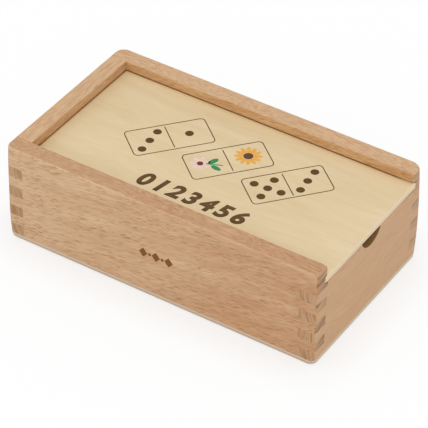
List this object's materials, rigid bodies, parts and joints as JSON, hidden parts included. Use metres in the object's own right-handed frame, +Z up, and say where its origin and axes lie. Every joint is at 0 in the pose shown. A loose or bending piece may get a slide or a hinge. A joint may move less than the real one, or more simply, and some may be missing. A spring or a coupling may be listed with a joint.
{
  "type": "domino storage box",
  "caption": "Finger-jointed wooden case with a flat lid that slides in grooves over a lowered end wall with a thumb notch.",
  "frame": {"origin": "middle of the underside, on the table", "axes": "+X along the case to the mouth where the lid comes out, +Y to the back wall, +Z up"},
  "size_m": [0.18, 0.102, 0.057],
  "materials": {
    "beech": "sanded beech with short dark flecks along the grain, clear matt lacquer",
    "base_plywood": "pale plywood, sanded flush with the walls",
    "lid_plywood": "pale fine-grained plywood, smooth sanded, printed on top"
  },
  "bodies": {
    "case": {"front_wall": "beech", "back_wall": "beech", "closed_end_wall": "beech", "mouth_end_wall": "beech", "bottom_panel": "base_plywood"},
    "lid": {"lid": "lid_plywood"}
  },
  "joints": [
    {"name": "lid_slide", "type": "slide", "parent": "case", "child": "lid", "axis": [1, 0, 0], "range_m": [0, 0.18]}
  ]
}
